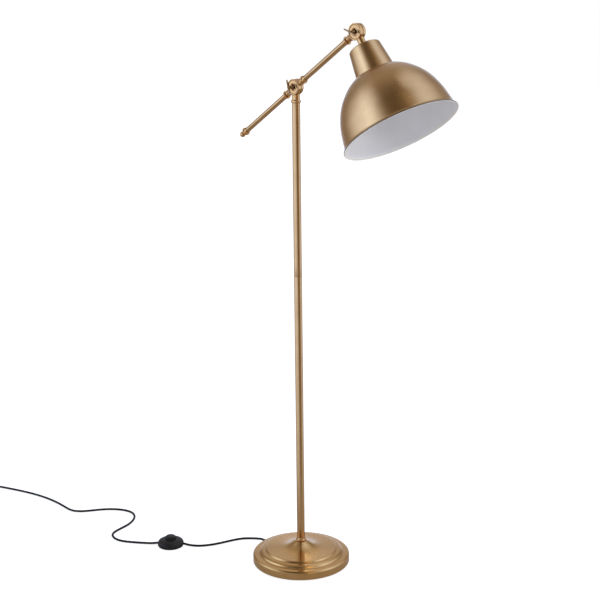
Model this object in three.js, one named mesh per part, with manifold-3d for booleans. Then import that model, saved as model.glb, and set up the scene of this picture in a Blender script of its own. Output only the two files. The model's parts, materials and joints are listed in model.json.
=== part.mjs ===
// Pharmacy floor lamp: weighted round base, two-piece pole, counterbalanced swing arm with two
// friction joints clamped by wing screws, bell shade under a tapered cap, and an in-line foot switch.
// Millimetres, +Z up. Origin: centre of the base's underside. The arm lies in the XZ plane.
import * as THREE from "three";
import { mergeVertices } from "three/addons/utils/BufferGeometryUtils.js";
import Module from "manifold-3d";

const wasm = await Module();
wasm.setup();

// ---------------------------------------------------------------- driving dimensions
const GAP = 0.3;
const BASE_R = 125;
const POLE_R = 10, POLE_BORE = 8.8;
const POLE_BOTTOM = 64.6, POLE_SEAM = 758.75, POLE_TOP = 1183.6;
const J1_Z = 1221.8; // lower joint axis height
const ARM_ANGLE = 32.82; // arm above horizontal, degrees
const ARM_LENGTH = 243.4; // between the two joint axes
const SHADE_ANGLE = 32.58; // shade axis from straight down, degrees
const DRUM_R = 19.3, DRUM_FRONT = -10.2, DRUM_BACK = 9.8, DRUM_SPLIT = 0.6;
const ROD_R = 6.7, ROD_BORE = 5.4, SPIGOT_R = 5.0;
const FINIAL_S = -235.5, FINIAL_R = 7.3;
const CORD_R = 3, EXIT_Z = 7.4;
const SWITCH_X = -310.3, SWITCH_Y = -189.4, SWITCH_R = 34.6, SWITCH_DIR = 221.5;
const BUTTON_R = 13, BUTTON_TRAVEL = 3;
const COIL = { x: -1062, y: -372, ro: 36.2, ri: 30, start: 112, turn: 1230, z1: 4.0, z2: 10.1 };

// ---------------------------------------------------------------- materials
const MAT = {
  brass: ["#b08a58", 0.34, 1], brass_joint: ["#b98a52", 0.28, 1], steel: ["#9a9a98", 0.4, 1],
  iron: ["#3c3b3a", 0.7, 0.6], black: ["#1b1b1c", 0.5, 0], cord: ["#151516", 0.55, 0],
  felt: ["#2a2a2a", 0.95, 0], porcelain: ["#ece8df", 0.35, 0], nickel: ["#c4c0b6", 0.3, 1],
  fibre: ["#4a3b2a", 0.8, 0], lead: ["#d8d2c4", 0.6, 0],
};

// ---------------------------------------------------------------- helpers
function volume(g) {
  const p = g.attributes.position, ix = g.index.array;
  let v = 0;
  const a = new THREE.Vector3(), b = new THREE.Vector3(), c = new THREE.Vector3();
  for (let i = 0; i < ix.length; i += 3) {
    a.fromBufferAttribute(p, ix[i]); b.fromBufferAttribute(p, ix[i + 1]); c.fromBufferAttribute(p, ix[i + 2]);
    v += a.dot(b.cross(c)) / 6;
  }
  return v;
}
// Closed, indexed, outward-facing geometry with positions only.
function clean(g0) {
  let g = g0.index ? g0.toNonIndexed() : g0.clone();
  const pos = g.attributes.position.array.slice();
  for (let i = 0; i < pos.length; i++) pos[i] = Math.round(pos[i] * 1e4) / 1e4;
  g = new THREE.BufferGeometry().setAttribute("position", new THREE.BufferAttribute(pos, 3));
  g = mergeVertices(g, 1e-3);
  const ix = g.index.array, keep = [];
  for (let i = 0; i < ix.length; i += 3) {
    const [a, b, c] = [ix[i], ix[i + 1], ix[i + 2]];
    if (a !== b && b !== c && a !== c) keep.push(a, b, c);
  }
  g.setIndex(keep);
  if (volume(g) < 0) {
    for (let i = 0; i < keep.length; i += 3) [keep[i + 1], keep[i + 2]] = [keep[i + 2], keep[i + 1]];
    g.setIndex(keep);
  }
  return g;
}
const solid = (g) => {
  const c = clean(g);
  return new wasm.Manifold(new wasm.Mesh({ numProp: 3, vertProperties: new Float32Array(c.attributes.position.array), triVerts: new Uint32Array(c.index.array) }));
};
function geometry(m) {
  const s = m.getMesh(), n = s.numProp, v = new Float32Array(s.numVert * 3);
  for (let i = 0; i < s.numVert; i++) v.set(s.vertProperties.subarray(i * n, i * n + 3), i * 3);
  return clean(new THREE.BufferGeometry().setAttribute("position", new THREE.BufferAttribute(v, 3)).setIndex(new THREE.BufferAttribute(new Uint32Array(s.triVerts), 1)));
}
const join = (...g) => geometry(g.map(solid).reduce((a, b) => a.add(b)));
const cut = (g, ...t) => geometry(t.map(solid).reduce((a, b) => a.subtract(b), solid(g)));
// Revolved about +Z from [r, z] pairs; closes on itself unless it starts and ends on the axis.
function lathe(profile, segs = 32) {
  const pts = profile.map(([r, z]) => new THREE.Vector2(r, z));
  if (profile[0][0] !== 0) pts.push(pts[0].clone());
  return clean(new THREE.LatheGeometry(pts, segs).rotateX(Math.PI / 2));
}
// A profile moved d to its right, for the inner wall of a spun shell.
function offset(p, d) {
  return p.map(([x, y], i) => {
    const dirs = [];
    if (i) dirs.push([x - p[i - 1][0], y - p[i - 1][1]]);
    if (i < p.length - 1) dirs.push([p[i + 1][0] - x, p[i + 1][1] - y]);
    const n = dirs.map(([a, b]) => { const l = Math.hypot(a, b); return [-b / l, a / l]; });
    const m = n.reduce((a, b) => [a[0] + b[0], a[1] + b[1]]), k = n.length / (m[0] ** 2 + m[1] ** 2) * (n.length === 2 ? 1 : 1);
    return [x + m[0] * d * k, y + m[1] * d * k];
  });
}
const ring = (ri, ro, z0, z1, segs = 32) => lathe([[ri, z0], [ro, z0], [ro, z1], [ri, z1]], segs);
const disc = (r, z0, z1, segs = 32) => lathe([[0, z0], [r, z0], [r, z1], [0, z1]], segs);
const box = (x0, x1, y0, y1, z0, z1) =>
  clean(new THREE.BoxGeometry(x1 - x0, y1 - y0, z1 - z0).translate((x0 + x1) / 2, (y0 + y1) / 2, (z0 + z1) / 2));
const alongX = (g) => g.clone().rotateY(Math.PI / 2); // +Z -> +X
const alongY = (g) => g.clone().rotateX(-Math.PI / 2); // +Z -> +Y
function hex(af, z0, z1, hole) {
  const r = af / Math.sqrt(3), s = new THREE.Shape();
  for (let i = 0; i < 6; i++) {
    const a = (i * Math.PI) / 3;
    i ? s.lineTo(r * Math.cos(a), r * Math.sin(a)) : s.moveTo(r * Math.cos(a), r * Math.sin(a));
  }
  if (hole) s.holes.push(new THREE.Path().absarc(0, 0, hole, 0, 2 * Math.PI, true));
  return clean(new THREE.ExtrudeGeometry(s, { depth: z1 - z0, bevelEnabled: false, curveSegments: 8 }).translate(0, 0, z0));
}
function tube(points, r, steps, sides = 8) {
  const curve = new THREE.CatmullRomCurve3(points.map((p) => new THREE.Vector3(...p)), false, "centripetal");
  const s = new THREE.Shape();
  for (let i = 0; i < sides; i++) {
    const a = ((i + 0.5) * 2 * Math.PI) / sides;
    i ? s.lineTo(r * Math.cos(a), r * Math.sin(a)) : s.moveTo(r * Math.cos(a), r * Math.sin(a));
  }
  return clean(new THREE.ExtrudeGeometry(s, { steps, bevelEnabled: false, extrudePath: curve }));
}
function put(parent, name, geo, mat) {
  const [color, roughness, metalness] = MAT[mat];
  geo.computeVertexNormals();
  const m = new THREE.Mesh(geo, new THREE.MeshStandardMaterial({ color, roughness, metalness, flatShading: true }));
  m.name = name;
  parent.add(m);
  return m;
}

const group = new THREE.Group();
const rad = THREE.MathUtils.degToRad;

// ---------------------------------------------------------------- base
const coverOuter = [[125, 2.1], [125, 19.5], [123.6, 22.2], [120, 23.5], [109.5, 24.3], [107, 25.8], [104.6, 29.8], [100.5, 31.6],
  [92.6, 32.3], [90.9, 35.4], [89.2, 36.4], [66, 37.3], [48, 39.2], [35, 42.8], [26, 47.3], [14.5, 54.6], [6.2, 54.6]];
const coverInner = [[6.2, 52.6], [13.6, 52.6], [25, 45.5], [38, 39.6], [56, 36.4], [88.3, 34.7], [90.6, 30.7], [101, 29.4],
  [107, 22.9], [120.5, 21.6], [123.4, 18.6], [123.4, 2.1]];
put(group, "base_cover", cut(lathe([...coverOuter, ...coverInner], 32), box(-130, -118, -5.4, 5.4, 0, 12.7)), "brass");
put(group, "base_weight", cut(
  lathe([[7, 12.5], [22, 12.5], [22, 2], [114, 2], [114, 18], [7, 18]], 32),
  box(-116, -20, -4, 4, 0, 10)), "iron");
put(group, "base_pad", lathe([[0, 0], [115.5, 0], [115.5, 1.7], [24, 1.7], [24, 1.1], [0, 1.1]], 32), "felt");
put(group, "base_spacer", ring(6, 9, 18.3, 52.3, 16), "steel");
put(group, "base_nipple", ring(3.6, 5, 5.3, 80, 16), "steel");
put(group, "base_washer", ring(5.3, 16, 10.7, 12.2, 20), "steel");
put(group, "base_nut", hex(17, 4.9, 10.4, 5.3), "steel");
put(group, "base_collar", lathe([[11.2, 54.9], [12.5, 56.1], [12.9, 57.9], [12.4, 59.8], [11.2, 60.9], [10.7, 64.3], [5.3, 64.3], [5.3, 54.9]], 20), "brass");
// strain relief: flange inside the wall, neck through the notch, tapered tail outside
put(group, "cord_strain_relief", lathe([[0, 0], [3, 0], [3.4, 1], [4.9, 22], [4.9, 29.6], [6.4, 29.6], [6.4, 31.4], [0, 31.4]], 12)
  .rotateY(Math.PI / 2).translate(-148.2, 0, EXIT_Z), "black");
put(group, "lead_base", tube([[-116.4, 0, EXIT_Z], [-90, 0, 7], [-60, 0, 6], [-36, 0, 5], [-24, 0, 3.9], [-14, 0, 3], [-9, 0, 2.9],
  [-4.5, 0, 2.9], [-2.2, 0, 3.6], [-0.6, 0, 5.3], [0, 0, 7.6], [0, 0, 12]], 1.5, 34, 6), "lead");

// ---------------------------------------------------------------- pole
put(group, "pole_lower", ring(POLE_BORE, POLE_R, POLE_BOTTOM, POLE_SEAM - GAP / 2, 24), "brass");
put(group, "pole_foot_bush", ring(5.3, 8.5, POLE_BOTTOM, 79, 16), "steel");
put(group, "pole_coupler", ring(6.5, 8.5, 738, 779, 16), "steel");
put(group, "pole_upper", ring(POLE_BORE, POLE_R, POLE_SEAM + GAP / 2, POLE_TOP, 24), "brass");
put(group, "pole_top_collar", lathe([[8.8, 1183.9], [10.8, 1183.9], [11.8, 1185.4], [12.1, 1187.4], [11.8, 1189.4], [10.8, 1190.9], [8.8, 1190.9]], 24), "brass_joint");
put(group, "lead_pole", disc(1.7, 12.3, 1196, 6), "lead");

// ---------------------------------------------------------------- joint pieces (drum axis along Y)
const BORE = 3.3, NUT_AF = 10;
// Front half of a drum: moving half that shows its turned face.
function frontHalf() {
  return alongY(lathe([[BORE, -4], [7.4, -4], [7.6, -9], [8.3, -9.6], [10.2, -8.7], [15.2, -8.7],
    [16.8, DRUM_FRONT], [18.6, -10], [DRUM_R, -9.2], [DRUM_R, -DRUM_SPLIT], [BORE, -DRUM_SPLIT]], 28));
}
// Rear half: rounded back edge and a hexagonal pocket for the clamp nut.
function rearHalf() {
  const b = alongY(lathe([[BORE, DRUM_SPLIT], [DRUM_R, DRUM_SPLIT], [DRUM_R, 7.2], [18.3, 9], [16.6, DRUM_BACK], [BORE, DRUM_BACK]], 28));
  return cut(b, alongY(hex(NUT_AF, 4.8, 12)));
}
// Neck along +X from the drum, kept out of the other half's turning circle.
function neck(profile, front) {
  const n = alongX(lathe(profile, 18));
  return front ? cut(n, alongY(disc(19.7, -DRUM_SPLIT, 14, 28))) : cut(n, alongY(disc(19.7, -14, DRUM_SPLIT, 28)));
}
const wireBore = (x0, x1) => alongX(disc(2.6, x0, x1, 8));
const ARM_NECK = (end) => [[0, 10], [7.2, 10], [7.2, 20.6], [8.9, 21.3], [8.9, 22.8], [7.3, 23.7], [8.6, 25.5], [8.6, 27.2],
  [7.2, 28.2], [7.2, end], [SPIGOT_R, end], [SPIGOT_R, 52], [0, 52]];
// Thumb bar on a stem, standing clear of the drum's face; a blind hole takes the stud.
function wingScrew() {
  const shape = new THREE.Shape();
  const half = [[2.4, 20.2], [8, 21.5], [14, 22.5], [18, 23.1], [19, 24.6], [18, 26.1], [14, 26.4], [8, 26.4], [2.4, 26.6]];
  half.forEach(([u, w], i) => (i ? shape.lineTo(u, w) : shape.moveTo(u, w)));
  [...half].reverse().forEach(([u, w]) => shape.lineTo(-u, w));
  // shape (u, w) -> u along X, w along -Y, thickness along Z
  const plate = new THREE.ExtrudeGeometry(shape, { depth: 2.6, bevelEnabled: false }).translate(0, 0, -1.3).scale(1, -1, 1);
  const hub = alongY(lathe([[0, -26.9], [2.6, -26.9], [3.4, -25.8], [3.4, -21], [3.1, -18], [4.2, -13.6], [4.9, -12], [4.9, -10.8], [2.8, -10.8], [2.8, -17], [0, -17]], 16));
  return join(plate, hub);
}
// Stud: spigot in the thumb bar's stem, a pressure collar in the drum's cup, and a plain shank through to the nut.
const wingStud = () => alongY(lathe([[0, -16.7], [2.5, -16.7], [2.5, -10.4], [4.8, -10.4], [4.8, -4.3], [3, -4.3], [3, 9.2], [0, 9.2]], 16));
const clampNut = () => alongY(hex(NUT_AF - 0.7, 5.1, 9.4, BORE));
const washer = () => alongY(ring(4.5, 17, -0.3, 0.3, 24));

// lower joint
const j1 = new THREE.Group();
j1.position.set(0, 0, J1_Z);
group.add(j1);
// pole knuckle: rear half with a plain neck and a spigot into the pole
const poleNeck = lathe([[0, -52], [8.5, -52], [8.5, -30.6], [9.7, -30.6], [9.7, -12], [0, -12]], 24);
put(j1, "pole_knuckle", cut(join(rearHalf(), cut(poleNeck, alongY(disc(19.7, -14, DRUM_SPLIT, 28)))), disc(3.2, -53, -22, 10)), "brass_joint");
const WING1 = 106, WING2 = 160;
const w1 = put(j1, "lower_wing_screw", wingScrew(), "brass_joint");
w1.rotation.y = rad(-WING1);
put(j1, "lower_wing_stud", wingStud(), "steel");
put(j1, "lower_clamp_nut", clampNut(), "steel");
put(j1, "lower_friction_washer", washer(), "fibre");

// ---------------------------------------------------------------- arm (local +X runs from the lower to the upper joint)
const arm = new THREE.Group();
arm.position.set(0, 0, J1_Z);
arm.rotation.y = rad(-ARM_ANGLE);
group.add(arm);
const nearNeck = neck(ARM_NECK(31.3), true);
const tailNeck = neck(ARM_NECK(35.3), true).clone().rotateZ(Math.PI).scale(1, -1, 1);
put(arm, "arm_knuckle", cut(join(frontHalf(), nearNeck, clean(tailNeck)), wireBore(24, 53)), "brass_joint");
// collar: disc flange at its start and a thin sleeve over the rod; bore steps from spigot to rod
const collar = (x0) => lathe([[5.3, x0], [9.3, x0], [10.3, x0 + 0.9], [10.3, x0 + 2.8], [9.4, x0 + 3.8], [7.9, x0 + 4.6],
  [7.4, x0 + 10.4], [7, x0 + 10.4], [7, x0 + 4.6], [5.3, x0 + 4.6]], 20);
const NEAR = 31.6, TAIL = 35.6;
put(arm, "arm_collar_inner", alongX(collar(NEAR)), "brass_joint");
put(arm, "arm_rod", alongX(ring(ROD_BORE, ROD_R, NEAR + 4.9, ARM_LENGTH - TAIL - 4.9, 24)), "brass");
put(arm, "arm_collar_outer", alongX(collar(TAIL)).rotateY(Math.PI).translate(ARM_LENGTH, 0, 0), "brass_joint");
put(arm, "arm_collar_tail", alongX(collar(TAIL)).rotateY(Math.PI), "brass_joint");
put(arm, "tail_rod", alongX(ring(ROD_BORE, ROD_R, -217.4, -(TAIL + 4.9), 24)), "brass");
put(arm, "finial_collar", alongX(lathe([[5.3, -222.3], [9.3, -222.3], [10.3, -221.4], [10.3, -219.5], [9.4, -218.5], [7.9, -217.7],
  [7.4, -211.9], [7, -211.9], [7, -217.7], [5.3, -217.7]], 20)), "brass_joint");
const ball = [];
for (let i = 0; i <= 8; i++) {
  const a = -Math.PI / 2 + (i * (Math.PI / 2 + 0.95)) / 8;
  ball.push([i ? FINIAL_R * Math.cos(a) : 0, FINIAL_S + FINIAL_R * Math.sin(a)]);
}
put(arm, "finial", alongX(lathe([...ball, [3.9, -228.6], [4.6, -227.6], [6.6, -226.4], [7.4, -224.8], [7.2, -222.6], [SPIGOT_R, -222.6], [SPIGOT_R, -202], [0, -202]], 18)), "brass_joint");
put(arm, "lead_arm", alongX(disc(1.7, 25, ARM_LENGTH - 25, 6)), "lead");

// upper joint, on the arm's end
const j2 = new THREE.Group();
j2.position.set(ARM_LENGTH, 0, 0);
arm.add(j2);
const endNeck = neck(ARM_NECK(35.3), false).clone().rotateY(Math.PI);
put(j2, "arm_end_knuckle", cut(join(rearHalf(), clean(endNeck)), wireBore(-53, -24)), "brass_joint");
put(j2, "upper_clamp_nut", clampNut(), "steel");
put(j2, "upper_friction_washer", washer(), "fibre");
const w2 = put(j2, "upper_wing_screw", wingScrew(), "brass_joint");
w2.rotation.y = rad(-WING2 + ARM_ANGLE);
put(j2, "upper_wing_stud", wingStud(), "steel");

// ---------------------------------------------------------------- shade (local -Z runs down the shade's axis)
const shade = new THREE.Group();
shade.position.set(ARM_LENGTH * Math.cos(rad(ARM_ANGLE)), 0, J1_Z + ARM_LENGTH * Math.sin(rad(ARM_ANGLE)));
shade.rotation.y = rad(-SHADE_ANGLE);
group.add(shade);
const down = (p) => p.map(([r, s]) => [r, -s]);
const shadeNeck = cut(lathe(down([[0, 12], [9, 12], [9, 36], [10.6, 37], [10.6, 39.1], [0, 39.1]]), 20), alongY(disc(19.7, -DRUM_SPLIT, 14, 28)));
put(shade, "shade_knuckle", cut(join(frontHalf(), shadeNeck), lathe(down([[0, 22], [5.3, 22], [5.3, 40], [0, 40]]), 16)), "brass_joint");
put(shade, "shade_nipple", lathe(down([[3.6, 22.6], [5, 22.6], [5, 56], [3.6, 56]]), 16), "steel");
put(shade, "shade_cap", lathe(down([[5.3, 39.4], [32.5, 39.4], [35.6, 40.4], [37.1, 42.4], [37.6, 46], [46.9, 112.1], [45.8, 112.1], [36.5, 46.4],
  [35.4, 42.6], [32.2, 40.6], [5.3, 40.6]]), 32), "brass");
put(shade, "shade_locknut", hex(17, -46.4, -40.9, 5.3), "steel");
// lamp holder: moulded body hung on the nipple, with a threaded skirt through the shade
put(shade, "lamp_holder", lathe(down([[5.3, 47], [14, 47], [18.5, 52], [18.5, 100], [19.6, 101], [19.6, 128], [17, 128], [17, 66], [5.3, 66]]), 20), "porcelain");
put(shade, "socket_shell", lathe(down([[4.4, 68.3], [15.2, 68.3], [16.5, 70], [16.5, 122], [15.7, 122], [15.7, 70.6], [14.8, 69.3], [4.4, 69.3]]), 20), "nickel");
put(shade, "centre_contact", lathe(down([[0, 66.5], [3.9, 66.5], [3.9, 71.5], [2.4, 72.8], [0, 72.8]]), 12), "brass");
put(shade, "shade_ring", lathe(down([[20, 113.7], [27, 113.7], [27, 115.4], [23.6, 116.2], [23.6, 122.4], [20, 122.4]]), 20), "porcelain");
put(shade, "lead_shade", lathe(down([[0, 26], [1.7, 26], [1.7, 64], [0, 64]]), 6), "lead");
const domeOuter = [[20.2, 112.4], [61.4, 112.4], [67.7, 117], [77.5, 124.2], [88.1, 134.7], [99.3, 147.8], [109.3, 163.5], [117.7, 181.9],
  [125.4, 207], [132.4, 243.5], [134.3, 248.5], [137.8, 253.5]];
const domeInner = offset(domeOuter, 0.95).reverse();
put(shade, "shade_dome", lathe(down([...domeOuter, ...domeInner]), 36), "brass");

// ---------------------------------------------------------------- foot switch
const sw = new THREE.Group();
sw.position.set(SWITCH_X, SWITCH_Y, 0);
sw.rotation.z = rad(SWITCH_DIR);
group.add(sw);
put(sw, "switch_base", lathe([[0, 0], [32.6, 0], [33.6, 0.8], [34, 2], [34, 2.9], [32.2, 2.9], [32.2, 4], [0, 4]], 30), "black");
put(sw, "switch_cover", lathe([[SWITCH_R, 3.2], [SWITCH_R, 8.6], [33.6, 11.4], [31, 14.4], [27, 16.8], [17.5, 18.9], [15.2, 17.4],
  [13.4, 17.4], [13.4, 15.6], [21, 15.4], [30.6, 10.8], [32.5, 7.4], [32.5, 3.2]], 30), "black");
put(sw, "switch_button", lathe([[6.9, 10.6], [13.1, 10.6], [13.1, 13.5], [15.2, 13.5], [15.2, 15.3], [13.1, 15.3], [13.1, 25.2], [12.4, 26.8], [10, 27.8], [0, 28.1],
  [0, 20], [6.9, 20]], 24), "black");
put(sw, "switch_spring", ring(5.2, 6.2, 5.9, 16, 14), "steel");
put(sw, "switch_contact_block", cut(box(-14, 14, -9, 9, 4.3, 5.6), disc(0.6, 4, 6, 6)), "porcelain");
put(sw, "switch_screw_left", lathe([[0, 4.3], [2.2, 4.3], [2.2, 5.2], [1.4, 5.2], [1.4, 7.4], [0, 7.4]], 10).translate(0, 22, 0), "steel");
put(sw, "switch_screw_right", lathe([[0, 4.3], [2.2, 4.3], [2.2, 5.2], [1.4, 5.2], [1.4, 7.4], [0, 7.4]], 10).translate(0, -22, 0), "steel");

// ---------------------------------------------------------------- supply cord, on the floor
const LEAD_A = [
  [-148.5, -1.0], [-162.0, -2.3], [-175.1, -6.0], [-187.0, -12.5], [-196.7, -21.9],
  [-204.0, -33.3], [-209.4, -45.8], [-213.4, -58.8], [-216.9, -71.9], [-220.5, -85.0],
  [-224.5, -98.0], [-229.3, -110.7], [-235.2, -122.9], [-242.5, -134.3], [-251.4, -144.6],
  [-261.9, -153.2], [-273.6, -160.0], [-286.3, -164.8],
];
const LEAD_B = [
  [-336.5, -212.6], [-349.9, -224.1], [-364.0, -234.9], [-378.3, -245.3], [-392.7, -255.5],
  [-407.5, -265.3], [-423.4, -272.8], [-440.8, -275.6], [-458.3, -272.8], [-473.3, -263.9],
  [-482.6, -249.0], [-487.5, -232.0], [-491.2, -214.7], [-495.9, -197.6], [-503.0, -181.4],
  [-512.6, -166.6], [-524.7, -153.7], [-539.3, -143.9], [-556.2, -138.9], [-573.8, -139.8],
  [-590.5, -145.6], [-605.7, -154.6], [-619.2, -166.0], [-630.9, -179.3], [-640.7, -193.9],
  [-649.6, -209.3], [-658.6, -224.5], [-669.5, -238.4], [-683.8, -248.7], [-700.9, -252.7],
  [-718.6, -252.8], [-736.2, -251.8], [-753.9, -251.0], [-771.6, -250.8], [-789.3, -251.3],
  [-806.9, -252.5], [-824.5, -254.5], [-842.0, -257.2], [-859.4, -260.6], [-876.6, -264.7],
  [-893.7, -269.3], [-910.6, -274.5], [-927.4, -280.1], [-944.1, -286.0], [-960.6, -292.2],
  [-977.1, -298.6], [-993.5, -305.2], [-1009.9, -311.9], [-1026.3, -318.6], [-1042.6, -325.4],
  [-1059.0, -332.0], [-1075.5, -338.6],
];
const bend = (s) => { s = Math.min(Math.max(s, 0), 1); return s * s * (3 - 2 * s); };
const leadA = LEAD_A.map(([x, y], i) => [x, y, 3.1 + (EXIT_Z - 3.1) * (1 - bend(i / 3.5)) + 1.2 * bend((i - (LEAD_A.length - 4)) / 3)]);
const leadB = LEAD_B.map(([x, y], i) => [x, y, 3.1 + 1.2 * (1 - bend(i / 3)) + 0.9 * bend((i - (LEAD_B.length - 5)) / 3)]);
// end both routes square to the pieces they meet
const swEdge = SWITCH_R + GAP + 0.1, sd = [Math.cos(rad(SWITCH_DIR)), Math.sin(rad(SWITCH_DIR))];
leadA.splice(0, 2, [-148.2 - GAP, 0, EXIT_Z], [-156, -0.1, EXIT_Z - 0.2], [-164, -2.4, EXIT_Z - 1]);
leadA[leadA.length - 1] = [SWITCH_X - sd[0] * (swEdge + 0.2), SWITCH_Y - sd[1] * (swEdge + 0.2), 5.9];
leadB[0] = [SWITCH_X + sd[0] * swEdge, SWITCH_Y + sd[1] * swEdge, 5.9];
// the stored coil: one closed ring with a stub where the cord enters and one where it leaves
const ca = rad(COIL.start), cb = rad(COIL.start + COIL.turn);
const entry = [COIL.x + COIL.ro * Math.cos(ca), COIL.y + COIL.ro * Math.sin(ca)], entryDir = [-Math.sin(ca), Math.cos(ca)];
const exit = [COIL.x + COIL.ro * Math.cos(cb), COIL.y + COIL.ro * Math.sin(cb)], exitDir = [-Math.sin(cb), Math.cos(cb)];
const STUB = 26;
const at = (p, d, s, z) => [p[0] + d[0] * s, p[1] + d[1] * s, z];
while (Math.hypot(leadB[leadB.length - 1][0] - entry[0], leadB[leadB.length - 1][1] - entry[1]) < STUB + 8) leadB.pop();
leadB.push(at(entry, entryDir, -(STUB + GAP), COIL.z1));
put(group, "cord_lamp_to_switch", tube(leadA, CORD_R, 16), "cord");
put(group, "cord_switch_to_coil", tube(leadB, CORD_R, 56), "cord");
const bundle = lathe([[27.2, 1.2], [39, 1.2], [39.2, 2], [39.2, 12.2], [38.4, 13.1], [27.8, 13.1], [27, 12.2], [27, 2]], 28).translate(COIL.x, COIL.y, 0);
const stubIn = tube([at(entry, entryDir, -STUB, COIL.z1), at(entry, entryDir, -STUB / 2, COIL.z1), at(entry, entryDir, 0, COIL.z1)], CORD_R, 2);
const stubOut = tube([at(exit, exitDir, 0, COIL.z2), at(exit, exitDir, STUB / 2, COIL.z2), at(exit, exitDir, STUB, COIL.z2 - 0.4)], CORD_R, 2);
put(group, "cord_coil", join(bundle, stubIn, stubOut), "cord");
const TAIL_LEN = 87;
put(group, "cord_coil_to_plug", tube([at(exit, exitDir, STUB + GAP, COIL.z2 - 0.4), at(exit, exitDir, 44, 9), at(exit, exitDir, 64, 7.4), at(exit, exitDir, TAIL_LEN, 6.8)], CORD_R, 5), "cord");
const tieAng = 350;
const tie = new THREE.Group();
tie.position.set(COIL.x, COIL.y, 0);
tie.rotation.z = rad(tieAng);
group.add(tie);
const loop = new THREE.Shape([new THREE.Vector2(25.4, 0.1), new THREE.Vector2(40.4, 0.1), new THREE.Vector2(40.4, 14.2), new THREE.Vector2(25.4, 14.2)]);
loop.holes.push(new THREE.Path([new THREE.Vector2(26.1, 0.8), new THREE.Vector2(26.1, 13.5), new THREE.Vector2(39.6, 13.5), new THREE.Vector2(39.6, 0.8)]));
put(tie, "coil_tie", clean(new THREE.ExtrudeGeometry(loop, { depth: 8, bevelEnabled: false }).rotateX(Math.PI / 2).translate(0, 4, 0)), "black");
// flat two-pin plug lying on the floor beside the coil
const plug = new THREE.Group();
plug.position.set(exit[0] + exitDir[0] * (TAIL_LEN + GAP), exit[1] + exitDir[1] * (TAIL_LEN + GAP), 6.8);
plug.rotation.z = cb + Math.PI / 2;
group.add(plug);
const ps = new THREE.Shape([[0, -4], [8, -5.2], [16, -12.8], [33, -12.8], [36, -11], [36, 11], [33, 12.8], [16, 12.8], [8, 5.2], [0, 4]].map(([x, y]) => new THREE.Vector2(x, y)));
const body = clean(new THREE.ExtrudeGeometry(ps, { depth: 12.8, bevelEnabled: false }).translate(0, 0, -6.4));
const sock = (y) => alongX(disc(2.3, 30, 40, 12)).translate(0, y, 0);
put(plug, "plug_body", cut(body, sock(9.3), sock(-9.3)), "black");
const pin = (y) => alongX(lathe([[0, 30.3], [2, 30.3], [2, 53.6], [1.2, 55], [0, 55]], 12)).translate(0, y, 0);
put(plug, "plug_pin_a", pin(9.3), "nickel");
put(plug, "plug_pin_b", pin(-9.3), "nickel");

export default group;
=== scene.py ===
import json
import math

import bmesh
import bpy
from mathutils import Matrix, Vector


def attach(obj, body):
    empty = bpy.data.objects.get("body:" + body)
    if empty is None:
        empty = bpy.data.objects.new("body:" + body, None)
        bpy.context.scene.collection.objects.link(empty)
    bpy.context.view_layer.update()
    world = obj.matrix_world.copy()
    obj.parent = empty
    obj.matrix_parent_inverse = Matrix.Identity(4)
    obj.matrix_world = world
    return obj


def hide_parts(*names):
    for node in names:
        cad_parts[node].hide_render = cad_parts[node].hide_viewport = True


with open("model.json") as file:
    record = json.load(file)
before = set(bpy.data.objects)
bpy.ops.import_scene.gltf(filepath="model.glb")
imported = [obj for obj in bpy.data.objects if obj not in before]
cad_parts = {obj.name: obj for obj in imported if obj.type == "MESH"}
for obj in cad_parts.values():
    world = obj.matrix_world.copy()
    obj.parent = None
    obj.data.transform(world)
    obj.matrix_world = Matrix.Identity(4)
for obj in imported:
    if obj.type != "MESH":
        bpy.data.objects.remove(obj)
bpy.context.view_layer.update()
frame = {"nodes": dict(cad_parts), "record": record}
NODES = frame["nodes"]
scene = bpy.context.scene
MM = 0.001
rad = math.radians


def link(o):
    scene.collection.objects.link(o)
    return o


# ------------------------------------------------------------------ camera
AZ, DIST, HEIGHT = 47.03751, 3.06733, 1.44873
YAW, PITCH, ROLL, FOCAL_PX = 0.00140, 0.24001, -0.01119, 1271.68


def camera():
    a = rad(AZ)
    pos = Vector((math.sin(a) * DIST, -math.cos(a) * DIST, HEIGHT))
    right, fwd, up = Vector((math.cos(a), math.sin(a), 0)), Vector((-math.sin(a), math.cos(a), 0)), Vector((0, 0, 1))
    r2 = right * math.cos(YAW) - fwd * math.sin(YAW)
    f2 = fwd * math.cos(YAW) + right * math.sin(YAW)
    f3 = f2 * math.cos(PITCH) - up * math.sin(PITCH)
    u3 = up * math.cos(PITCH) + f2 * math.sin(PITCH)
    r4 = r2 * math.cos(ROLL) + u3 * math.sin(ROLL)
    u4 = u3 * math.cos(ROLL) - r2 * math.sin(ROLL)
    cam = bpy.data.cameras.new("camera")
    cam.sensor_width = 36
    cam.lens = FOCAL_PX / 600 * 36
    cam.clip_start, cam.clip_end = 0.05, 100
    o = link(bpy.data.objects.new("camera", cam))
    m = Matrix.Identity(4)
    for i in range(3):
        m[i][0], m[i][1], m[i][2], m[i][3] = r4[i], u4[i], -f3[i], pos[i]
    o.matrix_world = m
    scene.camera = o
    return o


camera()
scene.view_settings.view_transform = "Standard"
scene.view_settings.look = "None"


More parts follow.
